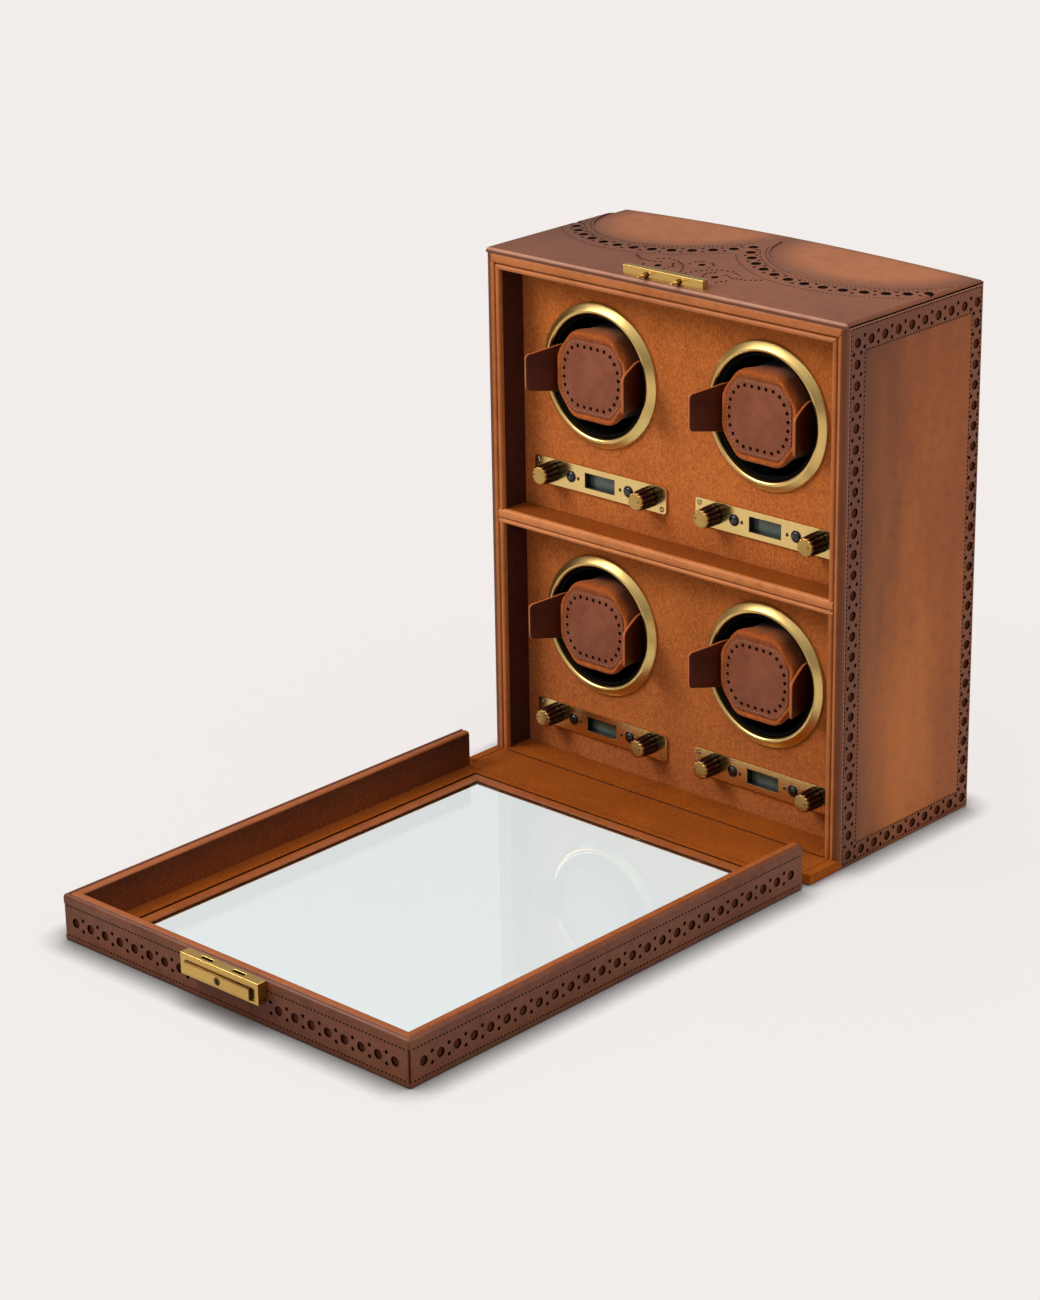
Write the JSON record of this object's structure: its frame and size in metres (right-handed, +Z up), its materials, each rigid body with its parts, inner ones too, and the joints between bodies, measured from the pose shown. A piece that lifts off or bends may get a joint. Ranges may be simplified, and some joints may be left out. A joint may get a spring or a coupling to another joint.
{
  "type": "watch winder",
  "caption": "Leather watch winder cabinet with turning drums behind brass bezels, padded cuffs, control plates and a hinged glazed lid with a sliding lock, lying open.",
  "frame": {"origin": "middle of the cabinet's underside, on the surface that it stands on", "axes": "+Z up, +Y from the cabinet's front to its back, +X to the right as seen from in front; the open lid lies towards -Y"},
  "size_m": [0.33, 0.5957, 0.4065],
  "materials": {
    "leather": "burnished brown calf leather",
    "leather_dark": "dark burnished leather",
    "suede": "tan suede",
    "suede_cuff": "tan suede over foam with a leather face",
    "board": "plain wooden board",
    "brass": "brushed brass",
    "antique_brass": "dark antique brass",
    "steel": "plain steel",
    "black_plastic": "matt black",
    "dark_plastic": "dark brown with a brass cap",
    "white_plastic": "moulded white",
    "display_glass": "grey liquid crystal display",
    "glass": "clear flat glass"
  },
  "bodies": {
    "cabinet": {"carcass": "board", "base_board": "leather", "mid_shelf": "suede", "side_leather": "leather", "top_leather": "leather", "top_overlay": "leather_dark", "front_rim": "leather", "recess_lining": "suede", "face_panels": "suede", "back_panel": "suede", "power_inlet": "black_plastic", "drive_bridge": "board", "bezel_rings": "brass", "gear_motors": "steel", "control_plates": "brass", "control_modules": "black_plastic", "displays": "display_glass", "hinge_leaf_base": "antique_brass", "strike_plate": "brass"},
    "lid": {"lid_frame": "leather", "lid_glass": "glass", "lid_bead": "suede", "hinge_leaf_lid": "antique_brass", "lock_case": "brass"},
    "lock_bar": {"lock_bar": "brass"},
    "lock_key": {"lock_cylinder": "brass"},
    "drum_upper_left": {"drum_upper_left": "black_plastic"},
    "pinion_upper_left": {"pinion_upper_left": "white_plastic"},
    "cuff_upper_left": {"cuff_upper_left": "suede_cuff", "cuff_wings_upper_left": "leather_dark"},
    "knob_upper_left_left": {"knob_upper_left_left": "dark_plastic"},
    "button_upper_left_left": {"button_upper_left_left": "black_plastic"},
    "knob_upper_left_right": {"knob_upper_left_right": "dark_plastic"},
    "button_upper_left_right": {"button_upper_left_right": "black_plastic"},
    "drum_upper_right": {"drum_upper_right": "black_plastic"},
    "pinion_upper_right": {"pinion_upper_right": "white_plastic"},
    "cuff_upper_right": {"cuff_upper_right": "suede_cuff", "cuff_wings_upper_right": "leather_dark"},
    "knob_upper_right_left": {"knob_upper_right_left": "dark_plastic"},
    "button_upper_right_left": {"button_upper_right_left": "black_plastic"},
    "knob_upper_right_right": {"knob_upper_right_right": "dark_plastic"},
    "button_upper_right_right": {"button_upper_right_right": "black_plastic"},
    "drum_lower_left": {"drum_lower_left": "black_plastic"},
    "pinion_lower_left": {"pinion_lower_left": "white_plastic"},
    "cuff_lower_left": {"cuff_lower_left": "suede_cuff", "cuff_wings_lower_left": "leather_dark"},
    "knob_lower_left_left": {"knob_lower_left_left": "dark_plastic"},
    "button_lower_left_left": {"button_lower_left_left": "black_plastic"},
    "knob_lower_left_right": {"knob_lower_left_right": "dark_plastic"},
    "button_lower_left_right": {"button_lower_left_right": "black_plastic"},
    "drum_lower_right": {"drum_lower_right": "black_plastic"},
    "pinion_lower_right": {"pinion_lower_right": "white_plastic"},
    "cuff_lower_right": {"cuff_lower_right": "suede_cuff", "cuff_wings_lower_right": "leather_dark"},
    "knob_lower_right_left": {"knob_lower_right_left": "dark_plastic"},
    "button_lower_right_left": {"button_lower_right_left": "black_plastic"},
    "knob_lower_right_right": {"knob_lower_right_right": "dark_plastic"},
    "button_lower_right_right": {"button_lower_right_right": "black_plastic"}
  },
  "joints": [
    {"name": "lid_hinge", "type": "hinge", "parent": "cabinet", "child": "lid", "pos_m": [0, -0.1102, 0.0017], "axis": [-1, 0, 0], "range_deg": [0, 90]},
    {"name": "lock_bar_slide", "type": "slide", "parent": "lid", "child": "lock_bar", "axis": [1, 0, 0], "range_m": [0, 0.003], "stiffness_N_per_m": 200},
    {"name": "lock_key_turn", "type": "hinge", "parent": "lock_bar", "child": "lock_key", "pos_m": [0, -0.515, 0.0247], "axis": [0, 1, 0], "range_deg": [0, 90]},
    {"name": "drum_upper_left_spin", "type": "hinge", "parent": "cabinet", "child": "drum_upper_left", "pos_m": [-0.0777, 0.0065, 0.3125], "axis": [0, 1, 0], "continuous": true},
    {"name": "pinion_upper_left_spin", "type": "hinge", "parent": "cabinet", "child": "pinion_upper_left", "pos_m": [-0.0777, 0.0065, 0.3485], "axis": [0, 1, 0], "continuous": true},
    {"name": "cuff_upper_left_pull", "type": "slide", "parent": "drum_upper_left", "child": "cuff_upper_left", "axis": [0, 1, 0], "range_m": [-0.06, 0]},
    {"name": "knob_upper_left_left_turn", "type": "hinge", "parent": "cabinet", "child": "knob_upper_left_left", "pos_m": [-0.1247, -0.0535, 0.2305], "axis": [0, 1, 0], "range_deg": [-135, 135]},
    {"name": "button_upper_left_left_press", "type": "slide", "parent": "cabinet", "child": "button_upper_left_left", "axis": [0, 1, 0], "range_m": [0, 0.001], "stiffness_N_per_m": 150},
    {"name": "knob_upper_left_right_turn", "type": "hinge", "parent": "cabinet", "child": "knob_upper_left_right", "pos_m": [-0.0307, -0.0535, 0.2305], "axis": [0, 1, 0], "range_deg": [-135, 135]},
    {"name": "button_upper_left_right_press", "type": "slide", "parent": "cabinet", "child": "button_upper_left_right", "axis": [0, 1, 0], "range_m": [0, 0.001], "stiffness_N_per_m": 150},
    {"name": "drum_upper_right_spin", "type": "hinge", "parent": "cabinet", "child": "drum_upper_right", "pos_m": [0.0777, 0.0065, 0.3125], "axis": [0, 1, 0], "continuous": true},
    {"name": "pinion_upper_right_spin", "type": "hinge", "parent": "cabinet", "child": "pinion_upper_right", "pos_m": [0.0777, 0.0065, 0.3485], "axis": [0, 1, 0], "continuous": true},
    {"name": "cuff_upper_right_pull", "type": "slide", "parent": "drum_upper_right", "child": "cuff_upper_right", "axis": [0, 1, 0], "range_m": [-0.06, 0]},
    {"name": "knob_upper_right_left_turn", "type": "hinge", "parent": "cabinet", "child": "knob_upper_right_left", "pos_m": [0.0307, -0.0535, 0.2305], "axis": [0, 1, 0], "range_deg": [-135, 135]},
    {"name": "button_upper_right_left_press", "type": "slide", "parent": "cabinet", "child": "button_upper_right_left", "axis": [0, 1, 0], "range_m": [0, 0.001], "stiffness_N_per_m": 150},
    {"name": "knob_upper_right_right_turn", "type": "hinge", "parent": "cabinet", "child": "knob_upper_right_right", "pos_m": [0.1247, -0.0535, 0.2305], "axis": [0, 1, 0], "range_deg": [-135, 135]},
    {"name": "button_upper_right_right_press", "type": "slide", "parent": "cabinet", "child": "button_upper_right_right", "axis": [0, 1, 0], "range_m": [0, 0.001], "stiffness_N_per_m": 150},
    {"name": "drum_lower_left_spin", "type": "hinge", "parent": "cabinet", "child": "drum_lower_left", "pos_m": [-0.0777, 0.0065, 0.1195], "axis": [0, 1, 0], "continuous": true},
    {"name": "pinion_lower_left_spin", "type": "hinge", "parent": "cabinet", "child": "pinion_lower_left", "pos_m": [-0.0777, 0.0065, 0.1555], "axis": [0, 1, 0], "continuous": true},
    {"name": "cuff_lower_left_pull", "type": "slide", "parent": "drum_lower_left", "child": "cuff_lower_left", "axis": [0, 1, 0], "range_m": [-0.06, 0]},
    {"name": "knob_lower_left_left_turn", "type": "hinge", "parent": "cabinet", "child": "knob_lower_left_left", "pos_m": [-0.1247, -0.0535, 0.0375], "axis": [0, 1, 0], "range_deg": [-135, 135]},
    {"name": "button_lower_left_left_press", "type": "slide", "parent": "cabinet", "child": "button_lower_left_left", "axis": [0, 1, 0], "range_m": [0, 0.001], "stiffness_N_per_m": 150},
    {"name": "knob_lower_left_right_turn", "type": "hinge", "parent": "cabinet", "child": "knob_lower_left_right", "pos_m": [-0.0307, -0.0535, 0.0375], "axis": [0, 1, 0], "range_deg": [-135, 135]},
    {"name": "button_lower_left_right_press", "type": "slide", "parent": "cabinet", "child": "button_lower_left_right", "axis": [0, 1, 0], "range_m": [0, 0.001], "stiffness_N_per_m": 150},
    {"name": "drum_lower_right_spin", "type": "hinge", "parent": "cabinet", "child": "drum_lower_right", "pos_m": [0.0777, 0.0065, 0.1195], "axis": [0, 1, 0], "continuous": true},
    {"name": "pinion_lower_right_spin", "type": "hinge", "parent": "cabinet", "child": "pinion_lower_right", "pos_m": [0.0777, 0.0065, 0.1555], "axis": [0, 1, 0], "continuous": true},
    {"name": "cuff_lower_right_pull", "type": "slide", "parent": "drum_lower_right", "child": "cuff_lower_right", "axis": [0, 1, 0], "range_m": [-0.06, 0]},
    {"name": "knob_lower_right_left_turn", "type": "hinge", "parent": "cabinet", "child": "knob_lower_right_left", "pos_m": [0.0307, -0.0535, 0.0375], "axis": [0, 1, 0], "range_deg": [-135, 135]},
    {"name": "button_lower_right_left_press", "type": "slide", "parent": "cabinet", "child": "button_lower_right_left", "axis": [0, 1, 0], "range_m": [0, 0.001], "stiffness_N_per_m": 150},
    {"name": "knob_lower_right_right_turn", "type": "hinge", "parent": "cabinet", "child": "knob_lower_right_right", "pos_m": [0.1247, -0.0535, 0.0375], "axis": [0, 1, 0], "range_deg": [-135, 135]},
    {"name": "button_lower_right_right_press", "type": "slide", "parent": "cabinet", "child": "button_lower_right_right", "axis": [0, 1, 0], "range_m": [0, 0.001], "stiffness_N_per_m": 150}
  ],
  "couplings": [
    {"joint": "pinion_upper_left_spin", "follows": "drum_upper_left_spin", "ratio": -3},
    {"joint": "pinion_upper_right_spin", "follows": "drum_upper_right_spin", "ratio": -3},
    {"joint": "pinion_lower_left_spin", "follows": "drum_lower_left_spin", "ratio": -3},
    {"joint": "pinion_lower_right_spin", "follows": "drum_lower_right_spin", "ratio": -3}
  ]
}
